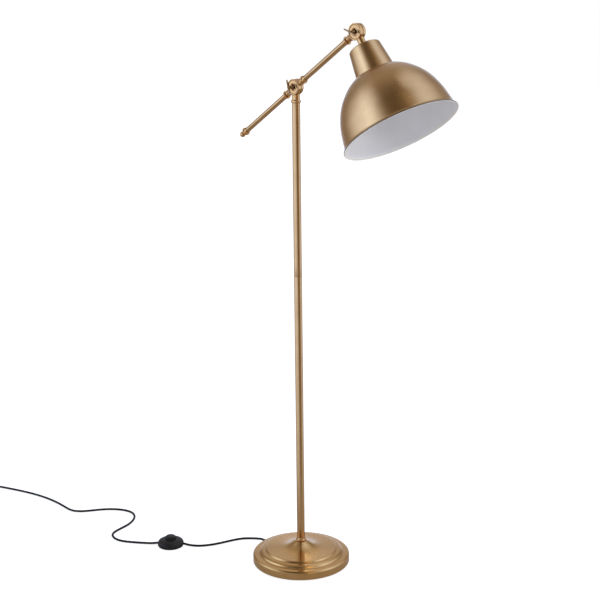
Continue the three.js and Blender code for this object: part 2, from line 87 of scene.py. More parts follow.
# ------------------------------------------------------------------ materials
class Nodes:
    """A material's node tree, one call for each node."""

    def __init__(self, name):
        self.mat = bpy.data.materials.new(name)
        self.mat.use_nodes = True
        self.nt = self.mat.node_tree
        self.nt.nodes.clear()
        self.out = self.nt.nodes.new("ShaderNodeOutputMaterial")

    def add(self, kind, ins=None, **props):
        n = self.nt.nodes.new(kind)
        for k, v in props.items():
            setattr(n, k, v)
        for k, v in (ins or {}).items():
            s = n.inputs[k]
            if isinstance(v, bpy.types.NodeSocket):
                self.nt.links.new(v, s)
            else:
                s.default_value = v
        return n

    def math(self, op, a, b=None, c=None):
        n = self.add("ShaderNodeMath", operation=op)
        for i, v in enumerate((a, b, c)):
            if v is None:
                continue
            if isinstance(v, bpy.types.NodeSocket):
                self.nt.links.new(v, n.inputs[i])
            else:
                n.inputs[i].default_value = v
        return n.outputs[0]

    def xyz(self, x, y, z):
        return self.add("ShaderNodeCombineXYZ", {0: x, 1: y, 2: z}).outputs[0]

    def noise(self, vec, scale=1.0, detail=3.0, rough=0.55):
        return self.add("ShaderNodeTexNoise", {"Vector": vec, "Scale": scale, "Detail": detail, "Roughness": rough}).outputs["Fac"]

    def ramp(self, v, lo, hi, a, b):
        return self.add("ShaderNodeMapRange", {"Value": v, "From Min": lo, "From Max": hi, "To Min": a, "To Max": b}).outputs["Result"]

    def mix(self, f, a, b, blend="MIX"):
        n = self.add("ShaderNodeMix", data_type="RGBA", blend_type=blend)
        for s, v in ((n.inputs[0], f), (n.inputs[6], a), (n.inputs[7], b)):
            if isinstance(v, bpy.types.NodeSocket):
                self.nt.links.new(v, s)
            else:
                s.default_value = v if not isinstance(v, tuple) else (*v, 1)
        return n.outputs[2]

    def bump(self, height, strength, distance):
        return self.add("ShaderNodeBump", {"Height": height, "Strength": strength, "Distance": distance}).outputs[0]

    def done(self, **ins):
        sh = self.add("ShaderNodeBsdfPrincipled", {k.replace("_", " "): v for k, v in ins.items()})
        self.nt.links.new(sh.outputs[0], self.out.inputs[0])
        return self.mat


def coords(n, centre=None):
    """The piece's own coordinates in mm: the stored attribute, or object space about a centre."""
    if centre is None:
        v = n.add("ShaderNodeAttribute", attribute_name="loc", attribute_type="GEOMETRY").outputs["Vector"]
    else:
        t = n.add("ShaderNodeTexCoord").outputs["Object"]
        v = n.add("ShaderNodeVectorMath", {0: t, 1: centre}, operation="SUBTRACT").outputs[0]
        v = n.add("ShaderNodeVectorMath", {0: v, "Scale": 1000.0}, operation="SCALE").outputs[0]
    s = n.add("ShaderNodeSeparateXYZ", {0: v})
    return v, s.outputs[0], s.outputs[1], s.outputs[2]


BRASS_A, BRASS_B = (0.58, 0.345, 0.155), (0.50, 0.29, 0.125)
# The darker brass pair on the next line is for the wing screws: painted shade for their shadowed blades and hubs.
WING_SHADE_A, WING_SHADE_B = (0.34, 0.20, 0.09), (0.25, 0.145, 0.065)
JOINT_A, JOINT_B = (0.64, 0.36, 0.15), (0.54, 0.29, 0.11)


def brass(name, mode, rough=0.30, a=BRASS_A, b=BRASS_B, centre=None, bump=0.03, fine=2.2, aniso=0.0, streaks=0.4):
    """Satin brass. mode: 'long' is brushed along the axis, 'spun' round it, 'turned' has rings about local Y, 'cast' is fine and even.
    aniso stretches highlights across the marks of a spun or turned surface."""
    n = Nodes(name)
    v, x, y, z = coords(n, centre)
    if mode == "long":
        streak = n.xyz(n.math("MULTIPLY", x, fine), n.math("MULTIPLY", y, fine), n.math("MULTIPLY", z, 0.012))
    elif mode == "spun":
        r = n.math("SQRT", n.math("ADD", n.math("MULTIPLY", x, x), n.math("MULTIPLY", y, y)))
        slow_x = n.math("DIVIDE", x, n.math("ADD", r, 1.0))
        slow_y = n.math("DIVIDE", y, n.math("ADD", r, 1.0))
        streak = n.xyz(n.math("MULTIPLY_ADD", r, fine, n.math("MULTIPLY", slow_x, 0.9)), n.math("MULTIPLY", slow_y, 0.9), n.math("MULTIPLY", z, fine))
    elif mode == "turned":
        r = n.math("SQRT", n.math("ADD", n.math("MULTIPLY", x, x), n.math("MULTIPLY", z, z)))
        streak = n.xyz(n.math("MULTIPLY", r, fine), n.math("MULTIPLY", x, 0.02), n.math("MULTIPLY", y, fine))
    else:
        streak = n.xyz(n.math("MULTIPLY", x, fine), n.math("MULTIPLY", y, fine), n.math("MULTIPLY", z, fine))
    lines = n.noise(streak, 1.0, 4.0, 0.62)
    cloud = n.noise(v, 0.018, 3.0, 0.5)
    smudge = n.noise(v, 0.06, 4.0, 0.6)
    tone = n.math("ADD", n.math("MULTIPLY", n.ramp(lines, 0.3, 0.7, 0, 1), streaks), n.math("MULTIPLY", n.ramp(cloud, 0.35, 0.65, 0, 1), 1 - streaks))
    col = n.mix(tone, a, b)
    ro = n.math("ADD", n.math("MULTIPLY_ADD", n.ramp(lines, 0.25, 0.75, -1, 1), 0.03 * streaks / 0.4, rough), n.math("MULTIPLY", n.ramp(smudge, 0.3, 0.7, -1, 1), 0.02))
    ins = dict(Base_Color=col, Metallic=1.0, Roughness=ro, Normal=n.bump(lines, bump, 0.0004))
    if aniso:
        ins["Anisotropic"] = aniso
        ins["Anisotropic_Rotation"] = 0.25
        ins["Tangent"] = n.add("ShaderNodeTangent", direction_type="UV_MAP", uv_map="UVMap").outputs[0]
    return n.done(**ins)


def plastic(name, a, b, rough, grain=3.0, bump=0.12, centre=(0, 0, 0), coat=0.0, spec=0.5):
    n = Nodes(name)
    v, x, y, z = coords(n, centre)
    g = n.noise(v, grain, 3.0, 0.6)
    cloud = n.noise(v, 0.05, 3.0, 0.5)
    col = n.mix(n.ramp(cloud, 0.35, 0.65, 0, 1), a, b)
    ro = n.math("ADD", n.ramp(g, 0.3, 0.7, rough - 0.05, rough + 0.05), n.math("MULTIPLY", n.ramp(cloud, 0.3, 0.7, -1, 1), 0.03))
    ins = dict(Base_Color=col, Metallic=0.0, Roughness=ro, Normal=n.bump(g, bump, 0.0002))
    ins["Specular_IOR_Level"] = spec
    if coat:
        ins["Coat_Weight"] = coat
    return n.done(**ins)


def metal(name, a, b, rough, grain=1.5, bump=0.08, centre=(0, 0, 0)):
    n = Nodes(name)
    v, x, y, z = coords(n, centre)
    g = n.noise(v, grain, 3.0, 0.6)
    cloud = n.noise(v, 0.08, 3.0, 0.55)
    col = n.mix(n.ramp(cloud, 0.35, 0.65, 0, 1), a, b)
    ro = n.math("ADD", n.ramp(g, 0.3, 0.7, rough - 0.05, rough + 0.06), n.math("MULTIPLY", n.ramp(cloud, 0.3, 0.7, -1, 1), 0.04))
    return n.done(Base_Color=col, Metallic=1.0, Roughness=ro, Normal=n.bump(g, bump, 0.0003))


J1 = Vector((0, 0, 1221.8))
ARM_A, SHADE_A, ARM_L = 32.82, 32.58, 243.4
J2 = J1 + Vector((math.cos(rad(ARM_A)), 0, math.sin(rad(ARM_A)))) * ARM_L
M1, M2 = J1 * MM, J2 * MM

BRASS_LONG = brass("brass_drawn_pole", "spun", rough=0.20, aniso=0.7, bump=0.012)
BRASS_SPUN = brass("brass_spun_shade", "spun", rough=0.25, aniso=0.85, bump=0.014)
BRASS_SPUN_BASE = brass("brass_spun_base", "spun", 0.25, (0.59, 0.342, 0.130), (0.515, 0.288, 0.106), aniso=0.85, bump=0.003, fine=1.3, streaks=0.22)
CAST_J1 = brass("brass_turned_lower", "turned", 0.20, JOINT_A, JOINT_B, centre=tuple(M1))
CAST_J2 = brass("brass_turned_upper", "turned", 0.20, JOINT_A, JOINT_B, centre=tuple(M2))
CAST = brass("brass_turned_collar", "spun", 0.20, JOINT_A, JOINT_B, aniso=0.4)
# Wing screws in the darkened brass: painted shade on blade and hub.
WING_J1 = brass("brass_wing_lower_shaded", "turned", 0.24, WING_SHADE_A, WING_SHADE_B, centre=tuple(M1))
WING_J2 = brass("brass_wing_upper_shaded", "turned", 0.24, WING_SHADE_A, WING_SHADE_B, centre=tuple(M2))
# Near-black brass on the wing studs: painted shade for the shadowed hub in the middle of each joint's face.
STUD_PAINTED_SHADE = brass("stud_painted_shade", "cast", 0.34, (0.16, 0.10, 0.055), (0.10, 0.065, 0.035), centre=tuple(M1))
# Dark brass on the shade's rolled rim: painted shade along the outside of the lip.
RIM_PAINTED_SHADE = brass("brass_rim_painted_shade", "spun", 0.28, (0.20, 0.135, 0.075), (0.15, 0.10, 0.055))
STEEL = metal("zinc_plated_steel", (0.56, 0.56, 0.55), (0.46, 0.46, 0.44), 0.34)
IRON = plastic("painted_iron", (0.020, 0.020, 0.020), (0.035, 0.033, 0.031), 0.62, 0.8, 0.4)
PAD = plastic("pad_felt", (0.016, 0.016, 0.016), (0.028, 0.027, 0.026), 0.9, 2.5, 0.5)
FIBRE = plastic("fibre_washer", (0.10, 0.06, 0.03), (0.14, 0.085, 0.045), 0.8, 2.0, 0.3)
BLACK = plastic("black_moulding", (0.013, 0.0100, 0.0072), (0.018, 0.0140, 0.0102), 0.50, 1.1, 0.55, spec=0.26)
CORD = plastic("cord_sheath", (0.006, 0.006, 0.006), (0.009, 0.009, 0.009), 0.56, 1.4, 0.10, spec=0.22)
WHITE = plastic("white_moulding", (0.78, 0.76, 0.71), (0.72, 0.70, 0.65), 0.34, 1.2, 0.06)
LEAD = plastic("inner_lead_sheath", (0.60, 0.57, 0.50), (0.52, 0.49, 0.43), 0.5, 1.2, 0.08)
NICKEL = metal("nickel_plate", (0.66, 0.63, 0.57), (0.58, 0.56, 0.51), 0.22)


def enamel(name, a, b):
    """The shade's sprayed white lining: satin, with faint orange peel."""
    n = Nodes(name)
    v, x, y, z = coords(n)
    peel = n.noise(v, 0.7, 2.0, 0.5)
    cloud = n.noise(v, 0.02, 3.0, 0.5)
    col = n.mix(n.ramp(cloud, 0.35, 0.65, 0, 1), a, b)
    ro = n.ramp(peel, 0.3, 0.7, 0.36, 0.48)
    return n.done(Base_Color=col, Metallic=0.0, Roughness=ro, Normal=n.bump(peel, 0.12, 0.0005))


ENAMEL = enamel("white_enamel", (0.865, 0.863, 0.882), (0.835, 0.833, 0.857))
# Brighter, warmer enamel on the inside of the rolled rim and the top of the lining: a painted highlight along the lip.
ENAMEL_HIGHLIGHT = enamel("white_enamel_painted_highlight", (0.95, 0.915, 0.865), (0.92, 0.885, 0.835))
SLOT_MATERIAL = {"satin_brass": BRASS_LONG, "cast_brass": CAST_J1, "zinc_steel": STEEL, "iron": IRON, "pad": PAD, "fibre": FIBRE,
                 "black_cord": CORD, "black_plastic": BLACK, "white_moulding": WHITE, "inner_lead": LEAD, "nickel": NICKEL}


# ------------------------------------------------------------------ mesh helpers
def fillet(pts, r=0.35, n=3, closed=False):
    """Rounds the corners of a profile of (x, y) or (x, y, radius) points."""
    out, k = [], len(pts)
    for i, p in enumerate(pts):
        rr = p[2] if len(p) > 2 else r
        v = Vector(p[:2])
        if (not closed and i in (0, k - 1)) or rr <= 0:
            out.append(tuple(v))
            continue
        a, b = Vector(pts[i - 1][:2]), Vector(pts[(i + 1) % k][:2])
        d1, d2 = (v - a), (b - v)
        l1, l2 = d1.length, d2.length
        if l1 < 1e-6 or l2 < 1e-6:
            continue
        d1, d2 = d1 / l1, d2 / l2
        ang = math.acos(max(-1, min(1, d1.dot(d2))))
        if ang < rad(9):
            out.append(tuple(v))
            continue
        t = min(rr * math.tan(ang / 2), 0.46 * l1, 0.46 * l2)
        p0, p2 = v - d1 * t, v + d2 * t
        for j in range(n + 1):
            u = j / n
            q = p0 * (1 - u) ** 2 + v * 2 * u * (1 - u) + p2 * u * u
            out.append(tuple(q))
    return out


def smooth(pts, per=5):
    """A Catmull-Rom line through the points."""
    p = [Vector(q) for q in pts]
    p = [p[0] * 2 - p[1]] + p + [p[-1] * 2 - p[-2]]
    out = []
    for i in range(1, len(p) - 2):
        p0, p1, p2, p3 = p[i - 1], p[i], p[i + 1], p[i + 2]
        for j in range(per):
            t = j / per
            out.append(tuple(0.5 * ((2 * p1) + (p2 - p0) * t + (2 * p0 - 5 * p1 + 4 * p2 - p3) * t * t + (3 * p1 - p0 - 3 * p2 + p3) * t ** 3)))
    out.append(tuple(p[-2]))
    return out


def offset(pts, d):
    out = []
    for i, p in enumerate(pts):
        v = Vector(p)
        ns = []
        if i:
            e = (v - Vector(pts[i - 1])).normalized()
            ns.append(Vector((-e.y, e.x)))
        if i < len(pts) - 1:
            e = (Vector(pts[i + 1]) - v).normalized()
            ns.append(Vector((-e.y, e.x)))
        m = sum(ns, Vector((0, 0)))
        out.append(tuple(v + m * d * len(ns) / m.length_squared))
    return out


def finish_mesh(name, bm, mats, sharp=34):
    bmesh.ops.recalc_face_normals(bm, faces=bm.faces)
    for f in bm.faces:
        f.smooth = True
    for e in bm.edges:
        if len(e.link_faces) == 2 and e.calc_face_angle(0) > rad(sharp):
            e.smooth = False
    me = bpy.data.meshes.new(name)
    bm.to_mesh(me)
    bm.free()
    for m in mats if isinstance(mats, (list, tuple)) else [mats]:
        me.materials.append(m)
    return link(bpy.data.objects.new(name, me))


Z_TO_X = Matrix.Rotation(rad(90), 4, "Y")
Z_TO_Y = Matrix.Rotation(rad(-90), 4, "X")
F_WORLD = Matrix.Identity(4)
F_J1 = Matrix.Translation(J1)
F_ARM = Matrix.Translation(J1) @ Matrix.Rotation(rad(-ARM_A), 4, "Y")
F_J2 = F_ARM @ Matrix.Translation((ARM_L, 0, 0))
F_SHADE = Matrix.Translation(J2) @ Matrix.Rotation(rad(-SHADE_A), 4, "Y")


def lathe_bm(profile, segs=96, m=F_WORLD, mat_from=None, wobble=None):
    """A profile of (r, z) points revolved about local Z, closed on itself unless both ends lie on the axis."""
    bm = bmesh.new()
    loc = bm.verts.layers.float_vector.new("loc")
    uv = bm.loops.layers.uv.new("UVMap")
    pr = [tuple(p[:2]) for p in profile]
    run = [0.0]
    for p, q in zip(pr, pr[1:] + pr[:1]):
        run.append(run[-1] + math.dist(p, q) / 100)
    closed = not (pr[0][0] < 1e-6 and pr[-1][0] < 1e-6)
    rings = []
    for r, z in pr:
        if r < 1e-6:
            v = bm.verts.new(m @ Vector((0, 0, z)) * MM)
            v[loc] = (0, 0, z)
            rings.append([v])
            continue
        row = []
        for i in range(segs):
            a = 2 * math.pi * i / segs
            rr = r + (wobble(r, z, a) if wobble else 0)
            p = Vector((rr * math.cos(a), rr * math.sin(a), z))
            v = bm.verts.new(m @ p * MM)
            v[loc] = p
            row.append(v)
        rings.append(row)
    pairs = [(i, i + 1) for i in range(len(rings) - 1)] + ([(len(rings) - 1, 0)] if closed else [])
    for i, j in pairs:
        a, b = rings[i], rings[j]
        mi = sum(i >= k for k in mat_from) if mat_from else 0
        if len(a) == 1 and len(b) == 1:
            continue
        for k in range(segs):
            k2 = (k + 1) % segs
            if len(a) == 1:
                vs = (a[0], b[k], b[k2])
            elif len(b) == 1:
                vs = (a[k], b[0], a[k2])
            else:
                vs = (a[k], b[k], b[k2], a[k2])
            f = bm.faces.new(vs)
            f.material_index = mi
            uvs = ((k, i), (k, i + 1), (k + 1, i + 1), (k + 1, i))
            if len(vs) == 3:
                uvs = ((k + 0.5, i), (k, i + 1), (k + 1, i + 1)) if len(a) == 1 else ((k, i), (k + 0.5, i + 1), (k + 1, i))
            for lp, (cu, cv) in zip(f.loops, uvs):
                lp[uv].uv = (cu / segs, run[cv])
    return bm


def lathe(name, profile, mats, body, node, segs=96, m=F_WORLD, mat_from=None, wobble=None, sharp=34):
    o = finish_mesh(name, lathe_bm(profile, segs, m, mat_from, wobble), mats, sharp)
    return dress(o, body, node)


def dress(o, body, node):
    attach(o, body)
    for k in [node] if isinstance(node, str) else node:
        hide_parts(k)
    return o


def cut(o, other, op="DIFFERENCE"):
    """o with other cut from it or joined to it; other goes."""
    mod = o.modifiers.new("cut", "BOOLEAN")
    mod.operation, mod.object, mod.solver = op, other, "EXACT"
    me = bpy.data.meshes.new_from_object(o.evaluated_get(bpy.context.evaluated_depsgraph_get()))
    o.modifiers.clear()
    old = o.data
    o.data = me
    bpy.data.meshes.remove(old)
    bpy.data.objects.remove(other)
    return o


def resharpen(o, sharp=34):
    bm = bmesh.new()
    bm.from_mesh(o.data)
    bmesh.ops.remove_doubles(bm, verts=bm.verts, dist=2e-6)
    bmesh.ops.dissolve_degenerate(bm, edges=bm.edges, dist=1e-6)
    for f in bm.faces:
        f.smooth = True
    for e in bm.edges:
        e.smooth = not (len(e.link_faces) == 2 and e.calc_face_angle(0) > rad(sharp))
    bm.to_mesh(o.data)
    bm.free()
    return o


def solid(profile, segs, m, mat):
    return finish_mesh("tool", lathe_bm(profile, segs, m), mat)


def prism(outline, z0, z1, m, mat, bevel=0.0, segments=2, name="tool"):
    """A closed outline of (x, y) points raised from z0 to z1 in the frame m, its long edges rounded."""
    bm = bmesh.new()
    loc = bm.verts.layers.float_vector.new("loc")
    lo = [bm.verts.new(Vector((x, y, z0))) for x, y in outline]
    hi = [bm.verts.new(Vector((x, y, z1))) for x, y in outline]
    bm.faces.new(lo[::-1])
    bm.faces.new(hi)
    k = len(outline)
    for i in range(k):
        bm.faces.new((lo[i], lo[(i + 1) % k], hi[(i + 1) % k], hi[i]))
    if bevel:
        rim = [e for e in bm.edges if abs(e.verts[0].co.z - e.verts[1].co.z) < 1e-6]
        bmesh.ops.bevel(bm, geom=rim, offset=bevel, segments=segments, profile=0.5, affect="EDGES", clamp_overlap=True)
    for v in bm.verts:
        v[loc] = v.co
        v.co = m @ v.co * MM
    return finish_mesh(name, bm, mat, 40)


def hexagon(af):
    r = af / math.sqrt(3)
    return [(r * math.cos(i * math.pi / 3), r * math.sin(i * math.pi / 3)) for i in range(6)]


def merge(name, objs, mats):
    """The objects' meshes as one object."""
    bm = bmesh.new()
    for o in objs:
        bm.from_mesh(o.data)
        bpy.data.objects.remove(o)
    me = bpy.data.meshes.new(name)
    bm.to_mesh(me)
    bm.free()
    for m in mats:
        me.materials.append(m)
    return link(bpy.data.objects.new(name, me))


# ------------------------------------------------------------------ supply cord, on the floor
LEAD_A = [
  [-148.5, -1.0], [-162.0, -2.3], [-175.1, -6.0], [-187.0, -12.5], [-196.7, -21.9],
  [-204.0, -33.3], [-209.4, -45.8], [-213.4, -58.8], [-216.9, -71.9], [-220.5, -85.0],
  [-224.5, -98.0], [-229.3, -110.7], [-235.2, -122.9], [-242.5, -134.3], [-251.4, -144.6],
  [-261.9, -153.2], [-273.6, -160.0], [-286.3, -164.8],
]
LEAD_B = [
  [-336.5, -212.6], [-349.9, -224.1], [-364.0, -234.9], [-378.3, -245.3], [-392.7, -255.5],
  [-407.5, -265.3], [-423.4, -272.8], [-440.8, -275.6], [-458.3, -272.8], [-473.3, -263.9],
  [-482.6, -249.0], [-487.5, -232.0], [-491.2, -214.7], [-495.9, -197.6], [-503.0, -181.4],
  [-512.6, -166.6], [-524.7, -153.7], [-539.3, -143.9], [-556.2, -138.9], [-573.8, -139.8],
  [-590.5, -145.6], [-605.7, -154.6], [-619.2, -166.0], [-630.9, -179.3], [-640.7, -193.9],
  [-649.6, -209.3], [-658.6, -224.5], [-669.5, -238.4], [-683.8, -248.7], [-700.9, -252.7],
  [-718.6, -252.8], [-736.2, -251.8], [-753.9, -251.0], [-771.6, -250.8], [-789.3, -251.3],
  [-806.9, -252.5], [-824.5, -254.5], [-842.0, -257.2], [-859.4, -260.6], [-876.6, -264.7],
  [-893.7, -269.3], [-910.6, -274.5], [-927.4, -280.1], [-944.1, -286.0], [-960.6, -292.2],
  [-977.1, -298.6], [-993.5, -305.2], [-1009.9, -311.9], [-1026.3, -318.6], [-1042.6, -325.4],
  [-1059.0, -332.0], [-1075.5, -338.6],
]

CORD_R, EXIT_Z = 3.0, 7.4
SW_X, SW_Y, SW_R, SW_DIR = -310.3, -189.4, 34.6, 221.5
COIL_X, COIL_Y, COIL_RO, COIL_RI, COIL_A0, COIL_TURN, COIL_Z1, COIL_Z2 = -1062.0, -372.0, 36.2, 30.0, 112.0, 1230.0, 4.0, 10.1


def ease(t):
    t = min(max(t, 0), 1)
    return t * t * (3 - 2 * t)


def coil_point(th):
    """Two turns by two: each step across or up is spread over most of a quarter turn, so the lead bends gently."""
    r, z = COIL_RO, COIL_Z1
    if th >= 275:
        r = COIL_RO + (COIL_RI - COIL_RO) * ease((th - 275) / 85)
    if th >= 545:
        z = COIL_Z1 + (COIL_Z2 - COIL_Z1) * ease((th - 545) / 85)
    if th >= 815:
        r = COIL_RI + (COIL_RO - COIL_RI) * ease((th - 815) / 85)
    a = rad(COIL_A0 + th)
    return (COIL_X + r * math.cos(a), COIL_Y + r * math.sin(a), z)


def cord_curve(name, pts):
    cu = bpy.data.curves.new(name, "CURVE")
    cu.dimensions = "3D"
    cu.bevel_depth = CORD_R * MM
    cu.bevel_resolution = 5
    cu.use_fill_caps = True
    s = cu.splines.new("POLY")
    fine = smooth([(x, y, z) for x, y, z in pts], 4)
    s.points.add(len(fine) - 1)
    for q, p in zip(s.points, fine):
        q.co = (p[0] * MM, p[1] * MM, p[2] * MM, 1)
    s.use_smooth = True
    cu.materials.append(CORD)
    o = link(bpy.data.objects.new(name, cu))
    return o, sum((Vector(a) - Vector(b)).length for a, b in zip(fine, fine[1:])) * MM


lead_a = [(x, y, 3.1 + (EXIT_Z - 3.1) * (1 - ease(i / 3.5)) + 1.2 * ease((i - (len(LEAD_A) - 4)) / 3)) for i, (x, y) in enumerate(LEAD_A)]
lead_b = [(x, y, 3.1 + 1.2 * (1 - ease(i / 3)) + 0.9 * ease((i - (len(LEAD_B) - 5)) / 3)) for i, (x, y) in enumerate(LEAD_B)]
sdx, sdy = math.cos(rad(SW_DIR)), math.sin(rad(SW_DIR))
edge = SW_R - 0.2
lead_a[0:2] = [(-148.2, 0, EXIT_Z), (-156, -0.1, EXIT_Z - 0.2), (-164, -2.4, EXIT_Z - 1)]
lead_a[-1] = (SW_X - sdx * edge, SW_Y - sdy * edge, 5.9)
lead_b[0] = (SW_X + sdx * edge, SW_Y + sdy * edge, 5.9)
ca, cb = rad(COIL_A0), rad(COIL_A0 + COIL_TURN)
entry, entry_dir = (COIL_X + COIL_RO * math.cos(ca), COIL_Y + COIL_RO * math.sin(ca)), (-math.sin(ca), math.cos(ca))
exit_, exit_dir = (COIL_X + COIL_RO * math.cos(cb), COIL_Y + COIL_RO * math.sin(cb)), (-math.sin(cb), math.cos(cb))
while math.dist(lead_b[-1][:2], entry) < 34:
    lead_b.pop()


def on(p, d, s, z):
    return (p[0] + d[0] * s, p[1] + d[1] * s, z)


TAIL = 87.0
lead_b += [on(entry, entry_dir, -26.3, COIL_Z1), on(entry, entry_dir, -13, COIL_Z1)]
lead_b += [coil_point(t) for t in range(0, int(COIL_TURN) + 1, 15)]
lead_b += [on(exit_, exit_dir, 13, COIL_Z2), on(exit_, exit_dir, 26, COIL_Z2 - 0.4), on(exit_, exit_dir, 44, 9), on(exit_, exit_dir, 64, 7.4), on(exit_, exit_dir, TAIL, 6.8)]

cord_a, len_a = cord_curve("cord_lamp_to_switch_fine", lead_a)
cord_b, len_b = cord_curve("cord_switch_to_plug_fine", lead_b)
print("cord lengths", round(len_a, 4), round(len_b, 4))
dress(cord_a, "stand", "cord_lamp_to_switch")
dress(cord_b, "stand", ("cord_switch_to_coil", "cord_coil", "cord_coil_to_plug"))

# strain relief: a ribbed taper that leaves the base's back wall
relief = [(0, 0), (3.05, 0), (3.5, 0.6)]
for i in range(7):
    x = 2.2 + i * 2.7
    r0 = 3.45 + i * 0.2
    relief += [(r0, x), (r0, x + 1.7), (r0 - 0.55, x + 1.9), (r0 - 0.5, x + 2.5)]
relief += [(4.9, 21.2), (4.9, 29.6), (6.4, 29.6), (6.4, 31.4), (0, 31.4)]
relief_o = lathe("cord_strain_relief_fine", fillet(relief, 0.2, 2), BLACK, "stand", "cord_strain_relief", 40,
                 Matrix.Translation((-148.2, 0, EXIT_Z)) @ Z_TO_X)

# ------------------------------------------------------------------ foot switch
F_SW = Matrix.Translation((SW_X, SW_Y, 0)) @ Matrix.Rotation(rad(SW_DIR), 4, "Z")


def rib(r, z, a):
    """Shallow grip ribs round the housing's wall."""
    if r < 34.4 or z > 9.2 or z < 3.3:
        return 0
    return -0.42 * (0.5 - 0.5 * math.cos(a * 72)) ** 3


sw_base = lathe("switch_base_fine", fillet([(0, 0), (32.6, 0), (33.6, 0.8), (34, 2), (34, 2.9), (32.2, 2.9), (32.2, 4), (0, 4)], 0.3, 2), BLACK, "stand", "switch_base", 96, F_SW)
cover = [(SW_R, 3.2), (SW_R, 4.6), (SW_R, 6.4), (SW_R, 8.2)] + smooth([(SW_R - 0.1, 8.9), (33.7, 11.2), (31.2, 14.2), (27, 16.7), (22, 18.2), (17.6, 18.9)], 5)
cover += [(15.6, 18.5), (14.0, 17.4), (13.4, 16.9), (13.4, 15.6), (21, 15.4), (30.6, 10.8), (32.5, 7.4), (32.5, 3.2)]
sw_cover = lathe("switch_cover_fine", fillet(cover, 0.4, 3), BLACK, "stand", "switch_cover", 288, F_SW, wobble=rib, sharp=50)
button = [(6.9, 10.6), (13.0, 10.6), (13.0, 13.5), (15.2, 13.5), (15.2, 15.3), (13.05, 15.3), (13.05, 24.9, 0.2)] + [(12.9, 25.9), (12.2, 26.9), (11, 27.5), (9, 27.85), (5, 28.05), (0, 28.1)] + [(0, 20), (6.9, 20)]
lathe("switch_button_fine", fillet(button, 0.25, 2), BLACK, "foot_button", "switch_button", 72, F_SW)

# ------------------------------------------------------------------ coil tie and plug
tie_m = Matrix.Translation((COIL_X, COIL_Y, 0)) @ Matrix.Rotation(rad(350), 4, "Z")


def tie_loop(x0, x1, z0, z1, r, n=5):
    pts = []
    for cx, cz, a0 in ((x1 - r, z0 + r, -90), (x1 - r, z1 - r, 0), (x0 + r, z1 - r, 90), (x0 + r, z0 + r, 180)):
        for i in range(n + 1):
            a = rad(a0 + 90 * i / n)
            pts.append((cx + r * math.cos(a), cz + r * math.sin(a)))
    return pts


def band(name):
    outer, inner = tie_loop(25.5, 40.3, 0.2, 14.1, 2.6), tie_loop(26.3, 39.5, 0.9, 13.3, 2.0)
    bm = bmesh.new()
    rows = []
    for ring, ins in ((outer, 0), (inner, 0)):
        for y in (-4, 4):
            rows.append([bm.verts.new(tie_m @ Vector((x, y, z)) * MM) for x, z in ring])
    o0, o1, i0, i1 = rows
    k = len(outer)
    for i in range(k):
        j = (i + 1) % k
        for a, b in ((o0, o1), (i1, i0), (i0, o0), (o1, i1)):
            bm.faces.new((a[i], a[j], b[j], b[i]))
    bmesh.ops.bevel(bm, geom=[e for e in bm.edges if e.calc_face_angle(0) > rad(60)], offset=0.15 * MM, segments=2, profile=0.5, affect="EDGES")
    return finish_mesh(name, bm, BLACK)


tie = dress(band("coil_tie_fine"), "stand", "coil_tie")
F_PLUG = Matrix.Translation((exit_[0] + exit_dir[0] * (TAIL + 0.3), exit_[1] + exit_dir[1] * (TAIL + 0.3), 6.8)) @ Matrix.Rotation(cb + math.pi / 2, 4, "Z")
half = smooth([(0, 3.9), (4, 4.3), (8, 5.4), (12, 9.0), (16, 12.2), (20, 12.75), (33, 12.75), (35.4, 12.0), (36, 10.2)], 4)
outline = [(x, -y) for x, y in half] + [(x, y) for x, y in reversed(half)]
plug = prism(outline, -6.35, 6.35, F_PLUG, BLACK, 1.5, 4, "plug_body_fine")
for y in (9.3, -9.3):
    cut(plug, solid([(0, 30), (2.3, 30), (2.3, 40), (0, 40)], 24, F_PLUG @ Matrix.Translation((0, y, 0)) @ Z_TO_X, BLACK))
resharpen(plug, 40)
dress(plug, "stand", "plug_body")
for tag, y in (("a", 9.3), ("b", -9.3)):
    lathe(f"plug_pin_{tag}_fine", fillet([(0, 30.3), (2, 30.3), (2, 53.4, 0.8), (1.1, 55), (0, 55)], 0.4, 3), NICKEL, "stand", f"plug_pin_{tag}", 32,
                      F_PLUG @ Matrix.Translation((0, y, 0)) @ Z_TO_X)

# ------------------------------------------------------------------ base
cone = smooth([(89.2, 36.4), (78, 36.8), (66, 37.3), (56, 38.1), (48, 39.2), (41, 40.8), (35, 42.8), (30, 45.1), (26, 47.3), (22, 49.9), (18, 52.6), (14.5, 54.6)], 5)
steps = fillet([(125, 2.1), (125, 20.0, 3.2), (121.5, 23.5, 2.0), (109.5, 24.3, 1.2), (107.3, 25.4, 0.8), (105.6, 29.2, 2.2), (101.2, 31.5, 1.6), (92.8, 32.3, 0.7), (91.3, 34.0, 1.6), (90.0, 36.2, 1.4), (88.2, 36.45)], 0.5, 5)
base_in = [(6.2, 54.6), (6.2, 52.6), (13.6, 52.6), (25, 45.5), (38, 39.6), (56, 36.4), (88.3, 34.7), (90.6, 30.7), (101, 29.4), (107, 22.9), (120.5, 21.6), (123.4, 18.6), (123.4, 2.1)]
base = finish_mesh("base_cover_fine", lathe_bm(steps + cone[1:] + base_in, 192), BRASS_SPUN_BASE)
cut(base, prism([(-130, -5.4), (-118, -5.4), (-118, 5.4), (-130, 5.4)], 0, 12.7, F_WORLD, BRASS_SPUN_BASE))
resharpen(base)
dress(base, "stand", "base_cover")
lathe("base_pad_fine", fillet([(0, 0), (115.5, 0), (115.5, 1.7), (24, 1.7), (24, 1.1), (0, 1.1)], 0.3, 2), PAD, "stand", "base_pad", 128)
lathe("base_collar_fine", fillet([(5.3, 54.9), (11.2, 54.9, 0.4), (12.9, 56.3, 1.4), (12.9, 59.3, 1.4), (11.1, 60.9, 0.6), (10.7, 64.3, 0.3), (5.3, 64.3)], 0.3, 5), CAST, "stand", "base_collar", 96)

